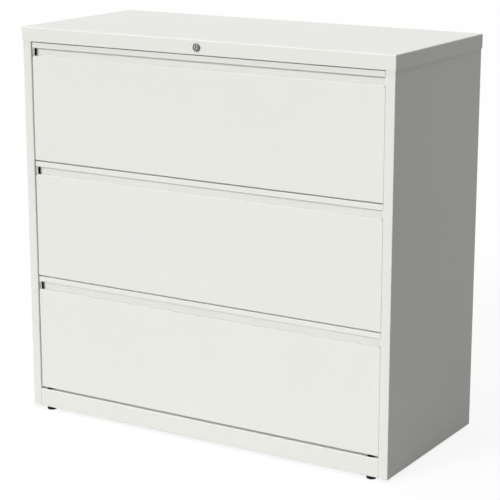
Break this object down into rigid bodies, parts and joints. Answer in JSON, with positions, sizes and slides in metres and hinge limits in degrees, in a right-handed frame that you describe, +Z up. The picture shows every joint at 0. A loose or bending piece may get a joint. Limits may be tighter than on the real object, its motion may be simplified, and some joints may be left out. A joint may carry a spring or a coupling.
{
  "type": "lateral filing cabinet",
  "caption": "Low, wide steel filing cabinet with full-width drawers, recessed finger pulls, a central key lock in the top cap and levelling glides.",
  "frame": {"origin": "on the floor under the middle of the overall box, the lock's face included", "axes": "+X across the width to the viewer's right from the front, -Y out of the front, +Z up"},
  "size_m": [1.067, 0.478, 1.022],
  "materials": {
    "case_paint": "satin powder coat",
    "drawer_paint": "satin powder coat",
    "zinc_steel": "zinc plated sheet",
    "slide_steel": "zinc plated, greased",
    "lock_chrome": "satin nickel plate",
    "foot_plastic": "matt black",
    "raw_steel": "mill scale",
    "screw_steel": "zinc plated"
  },
  "bodies": {
    "cabinet": {"left_side_panel": "case_paint", "right_side_panel": "case_paint", "back_panel": "case_paint", "top_cap": "case_paint", "front_top_rail": "case_paint", "front_base_rail": "case_paint", "rear_base_rail": "case_paint", "bottom_panel": "zinc_steel", "glide_nuts": "screw_steel", "counterweight": "raw_steel", "counterweight_screws": "screw_steel", "front_left_post": "case_paint", "front_right_post": "case_paint", "rear_left_post": "case_paint", "rear_right_post": "case_paint", "lock_barrel": "lock_chrome", "lock_nut": "screw_steel", "lock_guides": "zinc_steel", "outer_slides_1": "slide_steel", "outer_slides_2": "slide_steel", "outer_slides_3": "slide_steel"},
    "drawer_1": {"drawer_front_1": "drawer_paint", "front_liner_1": "drawer_paint", "drawer_tray_1": "drawer_paint", "drawer_sides_1": "drawer_paint", "drawer_fittings_1": "zinc_steel", "inner_slides_1": "slide_steel"},
    "middle_member_1": {"middle_slides_1": "slide_steel"},
    "outer_cage_1": {"outer_cages_1": "slide_steel"},
    "inner_cage_1": {"inner_cages_1": "slide_steel"},
    "drawer_2": {"drawer_front_2": "drawer_paint", "front_liner_2": "drawer_paint", "drawer_tray_2": "drawer_paint", "drawer_sides_2": "drawer_paint", "drawer_fittings_2": "zinc_steel", "inner_slides_2": "slide_steel"},
    "middle_member_2": {"middle_slides_2": "slide_steel"},
    "outer_cage_2": {"outer_cages_2": "slide_steel"},
    "inner_cage_2": {"inner_cages_2": "slide_steel"},
    "drawer_3": {"drawer_front_3": "drawer_paint", "front_liner_3": "drawer_paint", "drawer_tray_3": "drawer_paint", "drawer_sides_3": "drawer_paint", "drawer_fittings_3": "zinc_steel", "inner_slides_3": "slide_steel"},
    "middle_member_3": {"middle_slides_3": "slide_steel"},
    "outer_cage_3": {"outer_cages_3": "slide_steel"},
    "inner_cage_3": {"inner_cages_3": "slide_steel"},
    "lock_plug": {"lock_plug": "lock_chrome", "lock_cam": "zinc_steel"},
    "lock_bar": {"lock_bar": "zinc_steel"},
    "lock_strip": {"lock_strip": "zinc_steel"},
    "front_left_pad": {"front_left_pad": "foot_plastic"},
    "front_left_stem": {"front_left_stem": "screw_steel"},
    "front_right_pad": {"front_right_pad": "foot_plastic"},
    "front_right_stem": {"front_right_stem": "screw_steel"},
    "rear_left_pad": {"rear_left_pad": "foot_plastic"},
    "rear_left_stem": {"rear_left_stem": "screw_steel"},
    "rear_right_pad": {"rear_right_pad": "foot_plastic"},
    "rear_right_stem": {"rear_right_stem": "screw_steel"}
  },
  "joints": [
    {"name": "drawer_1_slide", "type": "slide", "parent": "cabinet", "child": "drawer_1", "axis": [0, -1, 0], "range_m": [0, 0.4]},
    {"name": "middle_member_1_slide", "type": "slide", "parent": "cabinet", "child": "middle_member_1", "axis": [0, -1, 0], "range_m": [0, 0.2]},
    {"name": "outer_cage_1_slide", "type": "slide", "parent": "cabinet", "child": "outer_cage_1", "axis": [0, -1, 0], "range_m": [0, 0.1]},
    {"name": "inner_cage_1_slide", "type": "slide", "parent": "cabinet", "child": "inner_cage_1", "axis": [0, -1, 0], "range_m": [0, 0.3]},
    {"name": "drawer_2_slide", "type": "slide", "parent": "cabinet", "child": "drawer_2", "axis": [0, -1, 0], "range_m": [0, 0.4]},
    {"name": "middle_member_2_slide", "type": "slide", "parent": "cabinet", "child": "middle_member_2", "axis": [0, -1, 0], "range_m": [0, 0.2]},
    {"name": "outer_cage_2_slide", "type": "slide", "parent": "cabinet", "child": "outer_cage_2", "axis": [0, -1, 0], "range_m": [0, 0.1]},
    {"name": "inner_cage_2_slide", "type": "slide", "parent": "cabinet", "child": "inner_cage_2", "axis": [0, -1, 0], "range_m": [0, 0.3]},
    {"name": "drawer_3_slide", "type": "slide", "parent": "cabinet", "child": "drawer_3", "axis": [0, -1, 0], "range_m": [0, 0.4]},
    {"name": "middle_member_3_slide", "type": "slide", "parent": "cabinet", "child": "middle_member_3", "axis": [0, -1, 0], "range_m": [0, 0.2]},
    {"name": "outer_cage_3_slide", "type": "slide", "parent": "cabinet", "child": "outer_cage_3", "axis": [0, -1, 0], "range_m": [0, 0.1]},
    {"name": "inner_cage_3_slide", "type": "slide", "parent": "cabinet", "child": "inner_cage_3", "axis": [0, -1, 0], "range_m": [0, 0.3]},
    {"name": "lock_strip_lift", "type": "slide", "parent": "cabinet", "child": "lock_strip", "axis": [0, 0, 1], "range_m": [0, 0.01]},
    {"name": "lock_turn", "type": "hinge", "parent": "cabinet", "child": "lock_plug", "pos_m": [0, -0.234, 1.0038], "axis": [0, 1, 0], "range_deg": [0, 90]},
    {"name": "lock_bar_slide", "type": "slide", "parent": "cabinet", "child": "lock_bar", "axis": [1, 0, 0], "range_m": [0, 0.01]},
    {"name": "front_left_glide", "type": "slide", "parent": "cabinet", "child": "front_left_pad", "axis": [0, 0, -1], "range_m": [0, 0.012]},
    {"name": "front_left_screw", "type": "hinge", "parent": "front_left_pad", "child": "front_left_stem", "pos_m": [-0.482, -0.218, 0], "axis": [0, 0, -1], "range_deg": [0, 2880]},
    {"name": "front_right_glide", "type": "slide", "parent": "cabinet", "child": "front_right_pad", "axis": [0, 0, -1], "range_m": [0, 0.012]},
    {"name": "front_right_screw", "type": "hinge", "parent": "front_right_pad", "child": "front_right_stem", "pos_m": [0.482, -0.218, 0], "axis": [0, 0, -1], "range_deg": [0, 2880]},
    {"name": "rear_left_glide", "type": "slide", "parent": "cabinet", "child": "rear_left_pad", "axis": [0, 0, -1], "range_m": [0, 0.012]},
    {"name": "rear_left_screw", "type": "hinge", "parent": "rear_left_pad", "child": "rear_left_stem", "pos_m": [-0.482, 0.2211, 0], "axis": [0, 0, -1], "range_deg": [0, 2880]},
    {"name": "rear_right_glide", "type": "slide", "parent": "cabinet", "child": "rear_right_pad", "axis": [0, 0, -1], "range_m": [0, 0.012]},
    {"name": "rear_right_screw", "type": "hinge", "parent": "rear_right_pad", "child": "rear_right_stem", "pos_m": [0.482, 0.2211, 0], "axis": [0, 0, -1], "range_deg": [0, 2880]}
  ],
  "couplings": [
    {"joint": "middle_member_1_slide", "follows": "drawer_1_slide", "ratio": 0.5},
    {"joint": "outer_cage_1_slide", "follows": "drawer_1_slide", "ratio": 0.25},
    {"joint": "inner_cage_1_slide", "follows": "drawer_1_slide", "ratio": 0.75},
    {"joint": "middle_member_2_slide", "follows": "drawer_2_slide", "ratio": 0.5},
    {"joint": "outer_cage_2_slide", "follows": "drawer_2_slide", "ratio": 0.25},
    {"joint": "inner_cage_2_slide", "follows": "drawer_2_slide", "ratio": 0.75},
    {"joint": "middle_member_3_slide", "follows": "drawer_3_slide", "ratio": 0.5},
    {"joint": "outer_cage_3_slide", "follows": "drawer_3_slide", "ratio": 0.25},
    {"joint": "inner_cage_3_slide", "follows": "drawer_3_slide", "ratio": 0.75},
    {"joint": "lock_turn", "follows": "lock_strip_lift", "rad_per_m": 157.08},
    {"joint": "lock_bar_slide", "follows": "lock_strip_lift", "ratio": 1},
    {"joint": "front_left_screw", "follows": "front_left_glide", "rad_per_m": 4188.8},
    {"joint": "front_right_screw", "follows": "front_right_glide", "rad_per_m": 4188.8},
    {"joint": "rear_left_screw", "follows": "rear_left_glide", "rad_per_m": 4188.8},
    {"joint": "rear_right_screw", "follows": "rear_right_glide", "rad_per_m": 4188.8}
  ]
}
